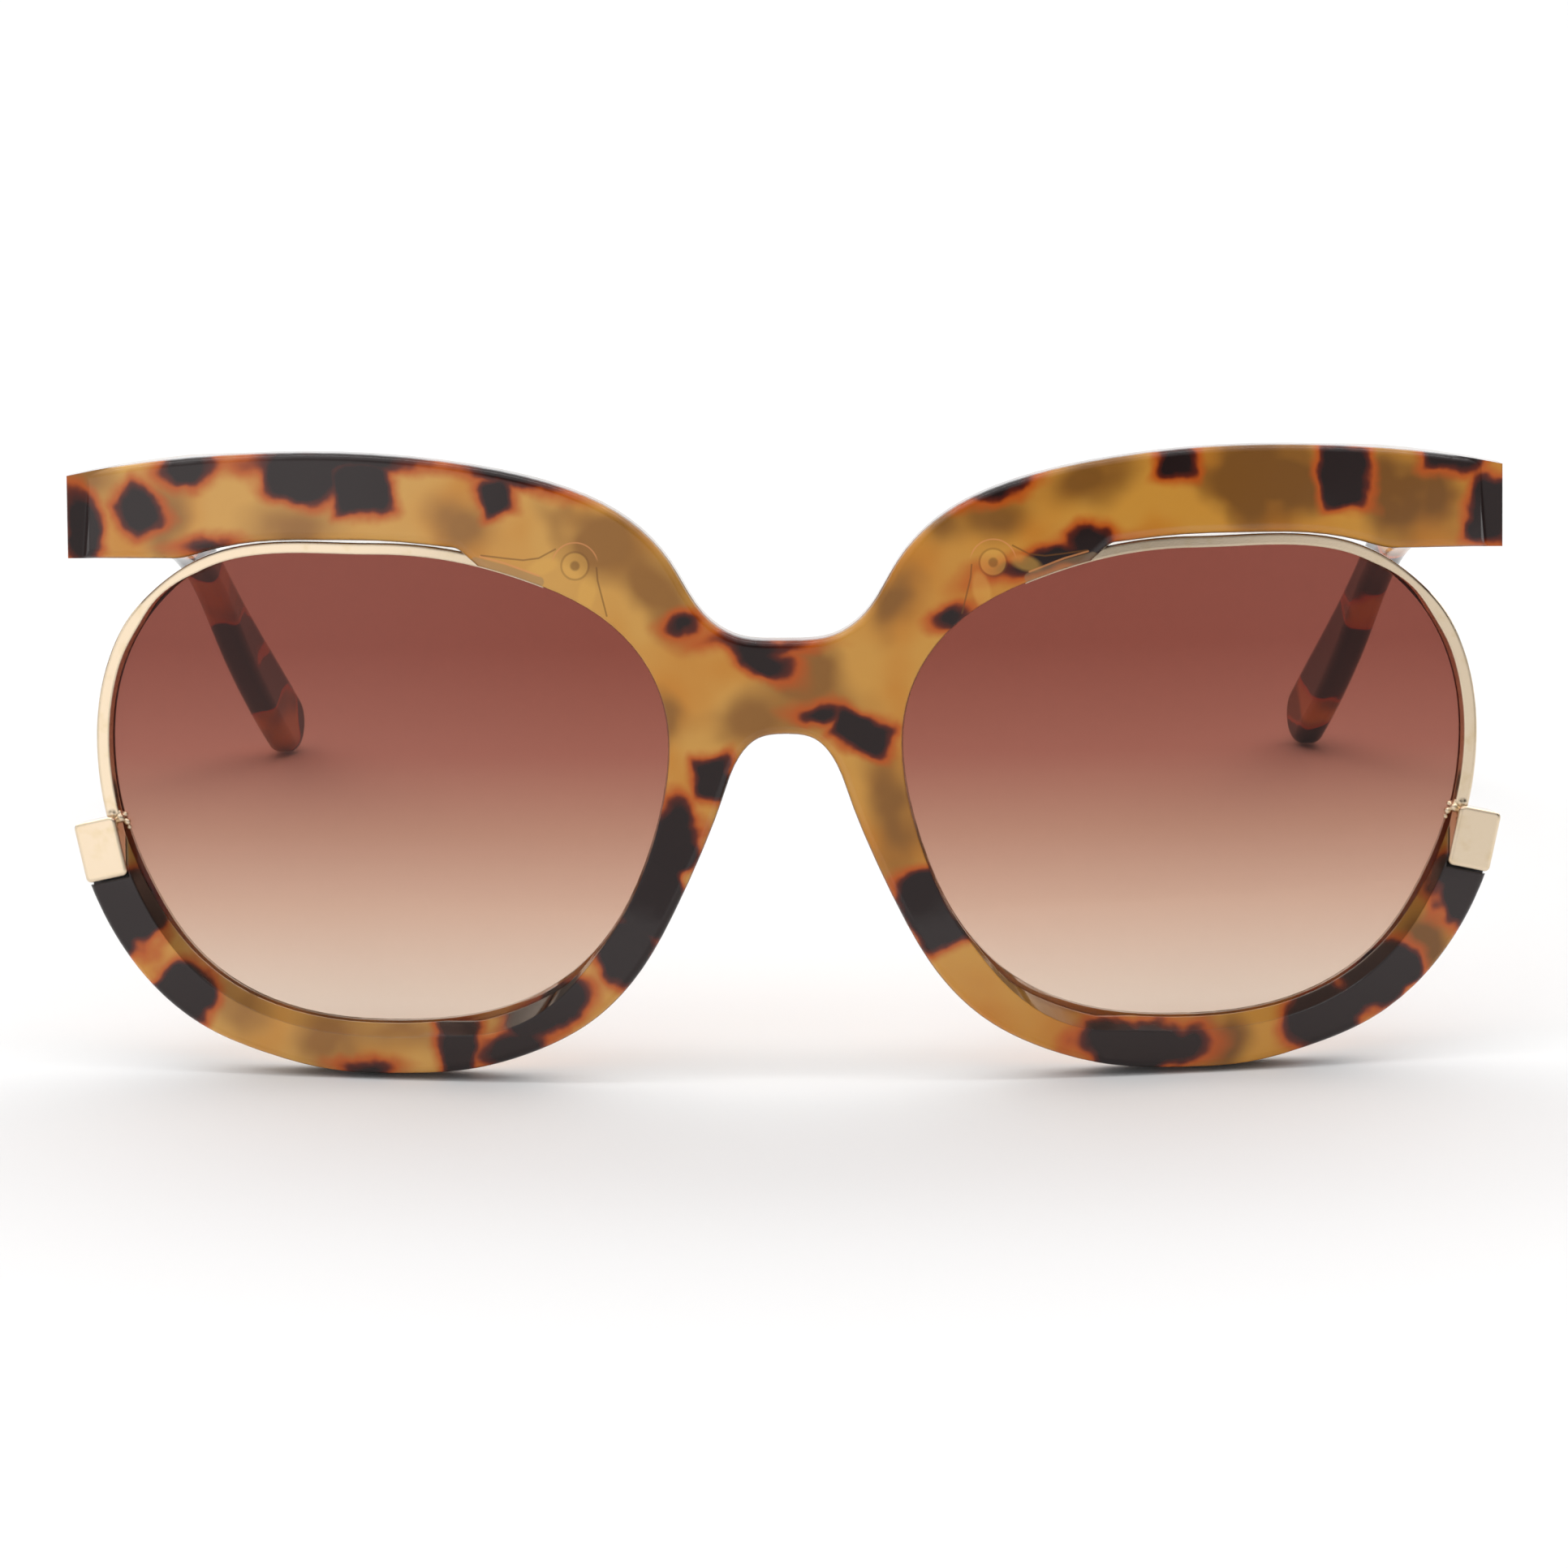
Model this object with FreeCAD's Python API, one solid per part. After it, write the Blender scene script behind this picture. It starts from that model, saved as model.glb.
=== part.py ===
import FreeCAD, Part
import math
import os

# Browline sunglasses with a half acetate front, wire upper rims and folding temples.
#
# Everything is drawn in the front's own frame: X across the face, Y back towards the ears, Z up the
# front, with the lowest rim near Z = 0. Left and right are the wearer's: the left side, at +X, is drawn
# and then mirrored. At the end the whole object leans back until the rims and the ear tips stand on one
# floor. Lengths are millimetres, angles are degrees.

Vec = FreeCAD.Vector

# Front
half_width = 74.0
front_radius = 300.0
front_centre_z = 31.0
front_thickness = 5.0
edge_round = 0.8
lean_back = 8.0
bridge_top_z = 44.8
nose_top_z = 35.2
brow_floor_z = 53.2
end_chamfer_wide = 2.3
end_chamfer_deep = 2.5
butt_y = 17.0
end_block_x = 62.0

top_edge = [(4.9, 45.25), (8.3, 47.6), (11.5, 52.65), (16.5, 57.6), (23.1, 60.65), (33.1, 62.9),
            (44.8, 64.0), (54.9, 63.95), (66.8, 62.95), (half_width, 61.7)]
brow_arch = [(63.0, brow_floor_z), (60.0, 53.8), (54.5, 54.9), (47.3, 55.12), (40.0, 54.97),
             (33.4, 54.3)]
lip_end = (27.2, 48.9)
lip_round = 1.5
rim_outer = [(73.5, 25.3), (72.9, 21.6), (71.7, 18.1), (69.0, 13.0), (65.6, 8.7), (60.5, 4.7),
             (53.7, 1.9), (46.9, 0.3), (40.0, 0.05), (33.4, 0.45), (26.7, 2.2), (20.0, 5.7),
             (14.8, 11.2), (11.45, 17.1), (8.15, 24.3), (6.5, 28.6), (4.9, 32.6), (2.9, 34.7)]

# Lenses: visible edge, counter-clockwise from the top
lens_edge = [(42.0, 53.65), (34.0, 52.95), (26.2, 50.8), (19.3, 47.5), (14.7, 43.0), (12.3, 37.3),
             (12.3, 30.4), (14.2, 22.8), (17.7, 15.4), (23.5, 9.4), (30.9, 6.2), (39.5, 5.2),
             (48.0, 5.7), (55.6, 8.1), (61.4, 12.4), (65.6, 18.6), (68.35, 25.2), (69.6, 32.2),
             (69.0, 40.15), (65.7, 47.2), (60.05, 52.0), (51.1, 53.8)]
lens_depth = 1.9
lens_thickness = 1.6
lens_inset = 0.5
groove_gap = 0.05
bevel_wide = 1.45
bevel_narrow = 0.25
opening_inset = 0.03

# Wire upper rims, whose inner wall flares open towards the front on the outer side
wire_width = 1.15
wire_depth = 1.0
wire_height = 3.1
wire_round = 0.22
wire_flare = 0.5
wire_end = (24.6, 50.3)
tab_centre = (21.3, 52.5)
tab_radius = 1.7
tab_thickness = 1.6
pocket_radius = 2.35
pocket_roof = [(32.5, 54.9), (28.5, 53.7), (25.0, 53.4), (22.4, 54.6), (19.4, 51.0), (18.5, 48.5),
               (17.6, 44.0), (27.0, 46.0), (33.5, 50.0), (32.5, 54.9)]
solder_radius = 0.75

# Corner blocks
block_centre = (70.95, 23.1)
block_wide = 4.6
block_high = 6.25
block_thick = 3.2
block_proud = 0.35
block_lean = 12.6
block_seam = 0.25
block_corner = 0.55
block_edge = 0.3

# Screws, slotted
screw_radius = 0.6
screw_head = 1.25
screw_head_high = 0.6
screw_long = 3.2
rim_screw_radius = 0.5
rim_screw_head = 1.05
rim_screw_head_high = 0.5
rim_screw_bite = 0.5
screw_gap = 0.02
slot_wide = 0.3

# Temples
temple_z = 57.7
temple_outer_x = 73.6
temple_thick = 4.4
temple_thinning = 0.8
temple_bow = 0.65
temple_droop = 5.0
straight_length = 94.0
ear_length = 48.0
bend_radius = 55.0
tip_radius = 3.5
tip_inward = 7.6
inward_from = 0.75
inward_power = 1.85
thinning_length = 140.0
temple_heights = [(0.0, 4.1), (30.0, 3.5), (70.0, 2.7), (95.0, 2.3), (106.0, 2.3), (122.0, 3.2),
                  (134.0, 3.7), (150.0, tip_radius)]
band_steps = 12
temple_round = 1.3
butt_gap = 0.1
floor_z = -0.86
core_high = 1.3
core_thick = 0.6
core_start = 14.0
core_short = 6.0
fit_gap = 0.03

# Hinges: five barrels, three on the front and two on the temple
barrel_radius = 1.5
barrel_gap = 0.1
front_barrel = 1.4
temple_barrel = 1.3
pin_radius = 0.7
pin_hole = 0.74
pin_head = 1.2
pin_head_high = 0.7
pin_head_round = 0.25
leaf_thick = 0.9
leaf_half = 3.65
neck_wide = 0.6
inner_x = temple_outer_x - temple_thick
axis_x = inner_x - barrel_radius - 0.15
axis_y = butt_y + barrel_radius + 0.15
rivet_radius = 0.6
rivet_head = 1.0
rivet_proud = 0.3
front_rivet_long = 3.4
temple_rivet_long = 2.8
front_leaf_low = (62.7, butt_y - leaf_thick, temple_z - leaf_half)
front_leaf_high = (axis_x, butt_y, temple_z + leaf_half)
temple_leaf_low = (inner_x, axis_y + 2.0, temple_z - 3.4)
temple_leaf_high = (inner_x + leaf_thick, axis_y + 13.5, temple_z + 2.0)
front_rivets = [Vec(64.2, butt_y, temple_z - 2.2), Vec(64.2, butt_y, temple_z + 2.2)]
temple_rivets = [Vec(inner_x, axis_y + 6.2, temple_z - 0.7), Vec(inner_x, axis_y + 11.0, temple_z - 0.7)]

# Nose pads
pad_centre = (10.9, 22.5)
pad_high = 14.0
pad_deep = 7.5
pad_thick = 2.2
pad_splay = 10.0
pad_slope = 25.0


def flat(points):
    """Points of the front's plane as vectors."""
    return [Vec(x, 0, z) for x, z in points]


def spline(points, closed=False, start=None):
    """Smooth curve through points, setting off along start if that is given."""
    curve = Part.BSplineCurve()
    if start is None:
        curve.interpolate(Points=points, PeriodicFlag=closed)
    else:
        along = points[-1] - points[-2]
        curve.interpolate(Points=points, InitialTangent=start, FinalTangent=along)
    return curve


def polyline(points):
    """Straight edges from point to point."""
    return [Part.makeLine(a, b) for a, b in zip(points, points[1:])]


def through(wire):
    """Outline of the front's plane, cut right through the front."""
    face = Part.Face(wire)
    face.translate(Vec(0, -10, 0))
    return face.extrude(Vec(0, 60, 0))


def ball(depth):
    """Solid sphere whose skin lies a given depth behind the front face."""
    return Part.makeSphere(front_radius - depth, Vec(0, front_radius, front_centre_z))


def between(solid, near, deep):
    """The part of a solid between two depths behind the front face."""
    return solid.common(ball(near)).cut(ball(deep))


def skin_y(x, z, depth=0.0):
    """Y of the surface a given depth behind the front face."""
    radius = front_radius - depth
    return front_radius - math.sqrt(radius ** 2 - x ** 2 - (z - front_centre_z) ** 2)


def mirrored(shape):
    return shape.mirror(Vec(0, 0, 0), Vec(1, 0, 0))


def seat(x, z, depth=0.0, roll=0.0):
    """Placement straight behind a point of the front, local Y running in and local Z leaning by roll."""
    point = Vec(x, skin_y(x, z), z)
    inward = (Vec(0, front_radius, front_centre_z) - point).normalize()
    turn = FreeCAD.Rotation(Vec(0, 1, 0), inward)
    lean = FreeCAD.Rotation(Vec(0, 1, 0), roll)
    return FreeCAD.Placement(point + inward * depth, turn * lean)


def placed(shape, placement):
    copy = shape.copy()
    copy.Placement = placement
    return copy


def edges_where(shape, test):
    """Edges whose ends and middle all pass a test."""
    found = []
    for edge in shape.Edges:
        low, high = edge.ParameterRange
        if high - low > 1e6 or edge.Length < 0.02:
            continue
        spots = [edge.valueAt(low + (high - low) * part) for part in (0.0, 0.5, 1.0)]
        if all(test(spot) for spot in spots):
            found.append(edge)
    return found


def on_skin(depth):
    """Test for points that lie a given depth behind the front face."""
    centre = Vec(0, front_radius, front_centre_z)

    def test(point):
        return abs(point.distanceToPoint(centre) - front_radius + depth) < 0.01
    return test


def lens_wire(offset_at):
    """Lens edge moved outwards by offset_at(x, z), one point at a time."""
    base = spline(flat(lens_edge), closed=True)
    first, last = base.FirstParameter, base.LastParameter
    count = 2 * len(lens_edge)
    moved = []
    for step in range(count):
        value = first + (last - first) * step / count
        point = base.value(value)
        along = base.tangent(value)[0]
        outward = Vec(-along.z, 0, along.x) * -1
        moved.append(point + outward * offset_at(point.x, point.z))
    return moved


def lens_prism(offset):
    """Lens edge grown by an even offset and cut through the front."""
    points = lens_wire(lambda x, z: offset)
    return through(Part.Wire(spline(points, closed=True).toShape()))


def ease(value, low, high):
    """0 at low, 1 at high, smooth between and flat beyond."""
    share = min(max((value - low) / (high - low), 0.0), 1.0)
    return share * share * (3 - 2 * share)


def flared_opening(slope_at):
    """Opening flush with the visible lens edge at the lens, growing towards the front by slope_at(x, z)."""
    def ring(y):
        points = lens_wire(lambda x, z: slope_at(x, z) * (skin_y(x, z, lens_depth) - y) - opening_inset)
        lifted = [Vec(point.x, y, point.z) for point in points]
        return Part.Wire(spline(lifted, closed=True).toShape())
    return Part.makeLoft([ring(-2.0), ring(14.0)], True, True)


def bevel_tool():
    """Bevel round a lens in the acetate, widest at the bottom and the outer side."""
    def slope(x, z):
        share = ease(z, 34.0, 10.0) * ease(x, 18.0, 34.0)
        return (bevel_narrow + (bevel_wide - bevel_narrow) * share) / lens_depth
    return flared_opening(slope)


def flare_at(x, z):
    """How far the wire's front edge stands outside the lens edge."""
    return wire_flare * ease(x, 56.0, 65.0) * ease(z, 51.5, 45.0)


def front_outline():
    """Brow, bridge and lower rims as one closed outline, still solid inside the lenses."""
    right_top = flat(top_edge)
    left_top = [Vec(-point.x, 0, point.z) for point in reversed(right_top)]
    top = spline(left_top + [Vec(0, 0, bridge_top_z)] + right_top)
    arch = flat(brow_arch)
    right_rim = flat(rim_outer)
    left_rim = [Vec(-point.x, 0, point.z) for point in reversed(right_rim)]
    rim = spline(right_rim + [Vec(0, 0, nose_top_z)] + left_rim)
    right = polyline([right_top[-1], Vec(half_width, 0, brow_floor_z), arch[0]])
    right += [spline(arch, start=Vec(-1, 0, 0)).toShape()]
    right += polyline([arch[-1]] + flat([lip_end]) + [block_top_line(-12.0), right_rim[0]])
    left = [mirrored(edge) for edge in right]
    edges = [top.toShape()] + right + [rim.toShape()] + left
    return Part.Wire(Part.__sortEdges__(edges))


def block_top_line(across, down=0.0):
    """Point on the line along a corner block's top edge."""
    lean = math.radians(block_lean)
    up = block_high / 2 - down
    x = block_centre[0] + across * math.cos(lean) + up * math.sin(lean)
    z = block_centre[1] - across * math.sin(lean) + up * math.cos(lean)
    return Vec(x, 0, z)


def end_block():
    """Thick hinge end behind the brow, drawn from above and kept inside the brow's outline."""
    rear = skin_y(end_block_x, temple_z, front_thickness)
    points = [(end_block_x - 7.0, rear - 2.5), (end_block_x, butt_y), (half_width, butt_y),
              (half_width, rear - 2.5), (end_block_x - 7.0, rear - 2.5)]
    wire = Part.makePolygon([Vec(x, y, brow_floor_z - 5) for x, y in points])
    return Part.Face(wire).extrude(Vec(0, 0, 20))


def chamfer_tool():
    """Wedge that turns the brow's front face to its side, leaning with the curve of the front."""
    start_x = half_width - end_chamfer_wide
    start_y = skin_y(start_x, temple_z)
    steep = end_chamfer_deep / end_chamfer_wide
    out = half_width + 6.0
    points = [(start_x, start_y), (out, start_y + (out - start_x) * steep), (out, 0), (start_x, 0),
              (start_x, start_y)]
    reach = 15.0
    fall = reach * (temple_z - front_centre_z) / front_radius
    wire = Part.makePolygon([Vec(x, y - fall, temple_z - reach) for x, y in points])
    return Part.Face(wire).extrude(Vec(0, 2 * fall, 2 * reach))


def outer_edge(edge):
    """True for the outline's smooth edges, false for the ends and the cuts inside the lenses."""
    low, high = edge.ParameterRange
    middle = edge.valueAt((low + high) / 2)
    inside = abs(middle.x) > 28 and 24 < middle.z < 52
    return not inside and abs(middle.x) < half_width - end_chamfer_wide - 0.5


def end_edges(shape):
    """Edges between the chamfered front and the flat ends of the brow."""
    return [edge for edge in edges_where(shape, lambda p: abs(abs(p.x) - half_width) < 0.02)
            if edge.CenterOfMass.y < 13.0 and edge.Length > 5]


def front_blank():
    """Acetate front before the lens openings are cut."""
    prism = through(front_outline())
    corner = flat(brow_arch)[-1]
    lips = edges_where(prism, lambda p: abs(abs(p.x) - corner.x) + abs(p.z - corner.z) < 0.02)
    prism = prism.makeFillet(lip_round, lips)
    brow = prism.common(end_block())
    prism = prism.cut([chamfer_tool(), mirrored(chamfer_tool())])
    plate = between(prism, 0.0, front_thickness)
    plate = plate.makeFillet(edge_round, end_edges(plate))
    for depth in (0.0, front_thickness):
        edges = [edge for edge in edges_where(plate, on_skin(depth)) if outer_edge(edge)]
        plate = plate.makeFillet(edge_round, edges)
    return plate.fuse([brow, mirrored(brow)])


def cylinder(radius, start, length):
    """Round bar along Y."""
    return Part.makeCylinder(radius, length, Vec(0, start, 0), Vec(0, 1, 0))


def block_seat(depth=0.0):
    return seat(block_centre[0], block_centre[1], depth, block_lean)


def block_notch():
    """Step in the acetate's front for a corner block, open to the side and the top."""
    low = Vec(-block_wide / 2 - 0.05, -4.0, -block_high / 2 - block_seam)
    high = Vec(8.0, block_thick - block_proud, 8.0)
    return placed(box_between(low, high), block_seat())


def corner_block():
    """Polished metal block with rounded corners and a blind hole for its screw."""
    box = Part.makeBox(block_wide, block_thick, block_high,
                       Vec(-block_wide / 2, -block_proud, -block_high / 2))
    along = [edge for edge in box.Edges if abs(edge.tangentAt(edge.FirstParameter).y) > 0.99]
    box = box.makeFillet(block_corner, along)
    face = [edge for edge in box.Edges if edge.BoundBox.YMax < -block_proud + 0.01]
    box = box.makeFillet(block_edge, face)
    tip = front_thickness - screw_head_high - screw_long
    hole = cylinder(screw_radius + screw_gap, tip - screw_gap, block_thick)
    return placed(box.cut(hole), block_seat()).cut(lens_groove())


def slotted_screw(radius, length, head_radius, head_height):
    """Screw along Y: shank from 0 forwards to -length, head behind 0, with a slot."""
    shank = cylinder(radius, -length, length)
    head = cylinder(head_radius, 0, head_height)
    rim = edges_where(head, lambda p: abs(p.y - head_height) < 0.01)
    head = head.makeFillet(head_height * 0.4, rim)
    slot = Part.makeBox(4, 1, slot_wide, Vec(-2, head_height * 0.5, -slot_wide / 2))
    return shank.fuse(head).cut(slot)


def block_screw():
    """Holds a corner block from behind, through the acetate ledge."""
    screw = slotted_screw(screw_radius, screw_long, screw_head, screw_head_high)
    return placed(screw, block_seat(front_thickness - screw_head_high))


def block_screw_hole():
    hole = cylinder(screw_radius + screw_gap, -4, 5).fuse(cylinder(screw_head + 0.05, 0, 3))
    return placed(hole, block_seat(front_thickness - screw_head_high))


def lens():
    return between(lens_prism(lens_inset), lens_depth, lens_depth + lens_thickness)


def lens_groove():
    tool = lens_prism(lens_inset + groove_gap)
    return between(tool, lens_depth - groove_gap, lens_depth + lens_thickness + groove_gap)


def tab_outline(grow):
    """Round tab at the nose end of a wire rim with the arm that joins it to the wire."""
    centre = Vec(tab_centre[0], 0, tab_centre[1])
    end = Vec(wire_end[0] + 1.2, 0, wire_end[1] + 0.9)
    along = (end - centre).normalize()
    across = Vec(-along.z, 0, along.x)
    half = tab_radius * 0.62 + grow
    start = centre
    stop = end + along * grow
    arm = Part.makePolygon([start + across * half, stop + across * half, stop - across * half,
                            start - across * half, start + across * half])
    disc = Part.Wire(Part.makeCircle(tab_radius + grow, centre, Vec(0, 1, 0)))
    return [through(arm), through(disc)]


def wire_window():
    """Stretch of the lens outline that the wire covers, from the corner block to its nose end."""
    seam = block_top_line(-14.0)
    out = block_top_line(20.0)
    points = [Vec(wire_end[0], 0, 44), Vec(wire_end[0], 0, 70), Vec(90, 0, 70), out, seam,
              Vec(wire_end[0], 0, 44)]
    return through(Part.makePolygon(points))


def rim_wire():
    """Flat wire round the top and outer side of a lens, with a screw tab behind the acetate lip."""
    outside = lens_wire(lambda x, z: wire_width + flare_at(x, z))
    flare = flared_opening(lambda x, z: flare_at(x, z) / (lens_depth - wire_depth))
    ring = through(Part.Wire(spline(outside, closed=True).toShape()))
    ring = ring.cut(lens_prism(0.0)).common(wire_window())
    wire = between(ring, wire_depth, wire_depth + wire_height)
    outer = max(edges_where(wire, on_skin(wire_depth)), key=lambda edge: edge.Length)
    wire = wire.makeFillet(wire_round, [outer]).cut(flare)
    arm, disc = tab_outline(0.0)
    tab = between(arm.fuse(disc), wire_depth, wire_depth + tab_thickness)
    wire = wire.fuse(tab.cut(lens_prism(0.0)))
    joint = block_top_line(-block_wide / 2 + 0.3)
    joint = Vec(joint.x, skin_y(joint.x, joint.z, wire_depth + 0.6), joint.z + 0.15)
    solder = Part.makeSphere(solder_radius, joint)
    return wire.fuse(solder).cut(lens_groove())


def tab_seat():
    return seat(tab_centre[0], tab_centre[1], wire_depth + tab_thickness)


def rim_screw():
    """Screw that holds the wire's tab to the acetate from behind."""
    length = tab_thickness + rim_screw_bite
    return placed(slotted_screw(rim_screw_radius, length, rim_screw_head, rim_screw_head_high), tab_seat())


def rim_screw_hole():
    length = tab_thickness + rim_screw_bite + screw_gap
    return placed(cylinder(rim_screw_radius + screw_gap, -length, 8), tab_seat())


def tab_pocket():
    """Pocket in the back of the acetate for the end of the wire and its tab."""
    arm, disc = tab_outline(pocket_radius - tab_radius)
    room = through(Part.makePolygon(flat(pocket_roof)))
    pocket = arm.fuse([disc, room])
    return between(pocket, wire_depth - groove_gap, front_thickness + 2.0)


def front_frame():
    """Brow, bridge and lower rims in one piece of acetate."""
    blank = front_blank()
    tools = [lens_prism(0.0), lens_groove(), bevel_tool(), tab_pocket(), rim_screw_hole(),
             block_notch(), block_screw_hole()]
    tools += [front_leaf_room()]
    tools += [mirrored(tool) for tool in tools]
    for tool in tools:
        blank = blank.cut(tool)
    return blank


def barrel_heights():
    """Bottom and top of each barrel, from the lowest up."""
    total = 3 * front_barrel + 2 * temple_barrel + 4 * barrel_gap
    z = temple_z - total / 2
    heights = []
    for index in range(5):
        high = front_barrel if index % 2 == 0 else temple_barrel
        heights.append((z, z + high))
        z += high + barrel_gap
    return heights


def box_between(low, high):
    return Part.makeBox(high[0] - low[0], high[1] - low[1], high[2] - low[2], Vec(*low))


def barrels(first, plate, neck):
    """Every second barrel of a hinge joined to its plate by a neck seen from above."""
    solid = plate
    for low, high in barrel_heights()[first::2]:
        tube = Part.makeCylinder(barrel_radius, high - low, Vec(axis_x, axis_y, low))
        solid = solid.fuse([tube, box_between((neck[0], neck[1], low), (neck[2], neck[3], high))])
    hole = Part.makeCylinder(pin_hole, 20, Vec(axis_x, axis_y, temple_z - 10))
    return solid.cut(hole).removeSplitter()


def rivet(point, length, into, gap=0.0):
    """Rivet with its head proud of a hinge plate and its shank driven into the acetate."""
    shank = Part.makeCylinder(rivet_radius + gap, length, point, into)
    head = Part.makeCylinder(rivet_head, rivet_proud, point, into * -1)
    return shank.fuse(head)


def front_rivet(point, gap=0.0):
    return rivet(point, front_rivet_long, Vec(0, -1, 0), gap)


def temple_rivet(point, gap=0.0):
    return rivet(point, temple_rivet_long, Vec(1, 0, 0), gap)


def front_leaf_room():
    """Recess in the brow's end for the hinge plate and its rivets."""
    low = Vec(*front_leaf_low) - Vec(fit_gap, fit_gap, fit_gap)
    high = Vec(*front_leaf_high) + Vec(fit_gap, 5, fit_gap)
    return box_between(low, high).fuse([front_rivet(point, screw_gap) for point in front_rivets])


def hinge_front():
    plate = box_between(front_leaf_low, front_leaf_high)
    plate = plate.cut([front_rivet(point, screw_gap) for point in front_rivets])
    neck = (axis_x - neck_wide, butt_y - leaf_thick, axis_x, axis_y)
    return barrels(0, plate, neck)


def hinge_temple():
    plate = box_between(temple_leaf_low, temple_leaf_high)
    plate = plate.cut([temple_rivet(point, screw_gap) for point in temple_rivets])
    neck = (axis_x, axis_y, inner_x + leaf_thick, axis_y + 3.0)
    return barrels(1, plate, neck)


def hinge_screw():
    """Pin screw through all five barrels with its head on the top one."""
    low = barrel_heights()[0][0]
    high = barrel_heights()[-1][1]
    shank = Part.makeCylinder(pin_radius, high - low, Vec(axis_x, axis_y, low))
    seat_z = high + screw_gap
    top = seat_z + pin_head_high
    head = Part.makeCylinder(pin_head, pin_head_high, Vec(axis_x, axis_y, seat_z))
    head = head.makeFillet(pin_head_round, edges_where(head, lambda p: abs(p.z - top) < 0.01))
    neck = Part.makeCylinder(pin_radius, 0.1, Vec(axis_x, axis_y, high - 0.05))
    slot = Part.makeBox(4, slot_wide, 1, Vec(axis_x - 2, axis_y - slot_wide / 2, top - slot_wide))
    return shank.fuse([neck, head]).cut(slot)


def temple_path():
    """Middle line of a temple from the side: a function of length giving point and angle, and its length."""
    first = math.radians(-temple_droop)
    lean = math.radians(lean_back)
    start = Vec(0, butt_y + butt_gap, temple_z)
    bend = start + Vec(0, math.cos(first), math.sin(first)) * straight_length
    bend_height = -bend.y * math.sin(lean) + bend.z * math.cos(lean)
    fall = bend_height - (floor_z + tip_radius)
    second = -math.asin(fall / ear_length) + lean
    turn = first - second
    trim = bend_radius * math.tan(turn / 2)
    arc = bend_radius * turn

    def at(length):
        if length < straight_length - trim:
            angle = first
            point = start + Vec(0, math.cos(first), math.sin(first)) * length
        elif length < straight_length - trim + arc:
            part = (length - straight_length + trim) / bend_radius
            angle = first - part
            centre = start + Vec(0, math.cos(first), math.sin(first)) * (straight_length - trim)
            centre = centre + Vec(0, math.sin(first), -math.cos(first)) * bend_radius
            point = centre + Vec(0, -math.sin(angle), math.cos(angle)) * bend_radius
        else:
            angle = second
            rest = length - (straight_length - trim + arc) + trim
            point = bend + Vec(0, math.cos(second), math.sin(second)) * rest
        return point, angle
    return at, straight_length - 2 * trim + arc + ear_length


def temple_half_height(length):
    """Half height of a temple along its length: tall at the hinge, slim at the bend, full at the tip."""
    for (a, low), (b, high) in zip(temple_heights, temple_heights[1:]):
        if length <= b:
            share = (length - a) / (b - a)
            return low + (high - low) * share
    return tip_radius


def side_band(half_height, start, stop):
    """Side outline that follows the temple's middle line, with a round end."""
    at, _ = temple_path()
    upper, lower = [], []
    for step in range(band_steps + 1):
        length = start + (stop - start) * step / band_steps
        point, angle = at(length)
        side = Vec(0, -math.sin(angle), math.cos(angle)) * half_height(length)
        upper.append(point + side)
        lower.append(point - side)
    point, angle = at(stop)
    tip = point + Vec(0, math.cos(angle), math.sin(angle)) * half_height(stop)
    round_end = Part.Arc(upper[-1], tip, lower[-1]).toShape()
    edges = [spline(upper).toShape(), round_end, spline(lower[::-1]).toShape()]
    edges += [Part.makeLine(lower[0], upper[0])]
    return Part.Face(Part.Wire(edges)).extrude(Vec(110, 0, 0))


def temple_middle_x(y):
    """Middle of a temple seen from above: straight, then bent in towards the tip."""
    at, total = temple_path()
    tip_y = at(total)[0].y
    bend_y = butt_y + inward_from * straight_length
    share = max(0.0, (y - bend_y) / (tip_y - bend_y))
    bow = temple_bow * math.sin(math.pi * min(1.0, (y - butt_y) / (tip_y - butt_y)))
    return temple_outer_x - temple_thick / 2 + bow - tip_inward * share ** inward_power


def top_band(half_thick, start_y, stop_y):
    """Outline from above that follows the temple's middle line."""
    outer, inner = [], []
    for step in range(band_steps + 1):
        y = start_y + (stop_y - start_y) * step / band_steps
        outer.append(Vec(temple_middle_x(y) + half_thick(y), y, -60))
        inner.append(Vec(temple_middle_x(y) - half_thick(y), y, -60))
    edges = [spline(outer).toShape(), Part.makeLine(outer[-1], inner[-1])]
    edges += [spline(inner[::-1]).toShape(), Part.makeLine(inner[0], outer[0])]
    return Part.Face(Part.Wire(edges)).extrude(Vec(0, 0, 160))


def temple_half_thick(y):
    share = min(1.0, (y - butt_y) / thinning_length)
    return (temple_thick - temple_thinning * share) / 2


def temple_bar():
    """Acetate temple with rounded edges."""
    _, total = temple_path()
    side = side_band(temple_half_height, 0.0, total)
    plan = top_band(temple_half_thick, butt_y + butt_gap, butt_y + 170.0)
    bar = side.common(plan)
    long_edges = [edge for edge in bar.Edges if edge.BoundBox.YLength > 1.0 or edge.CenterOfMass.y > 60]
    long_edges = [edge for edge in long_edges if abs(edge.tangentAt(edge.FirstParameter).x) < 0.5]
    return bar.makeFillet(temple_round, long_edges)


def temple_core_bar(gap):
    """Flat metal core inside a temple, from behind the hinge plate to near the tip."""
    _, total = temple_path()
    side = side_band(lambda length: core_high + gap, core_start - gap, total - core_short)
    plan = top_band(lambda y: core_thick + gap, butt_y + 5.0, butt_y + 170.0)
    return side.common(plan)


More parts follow.
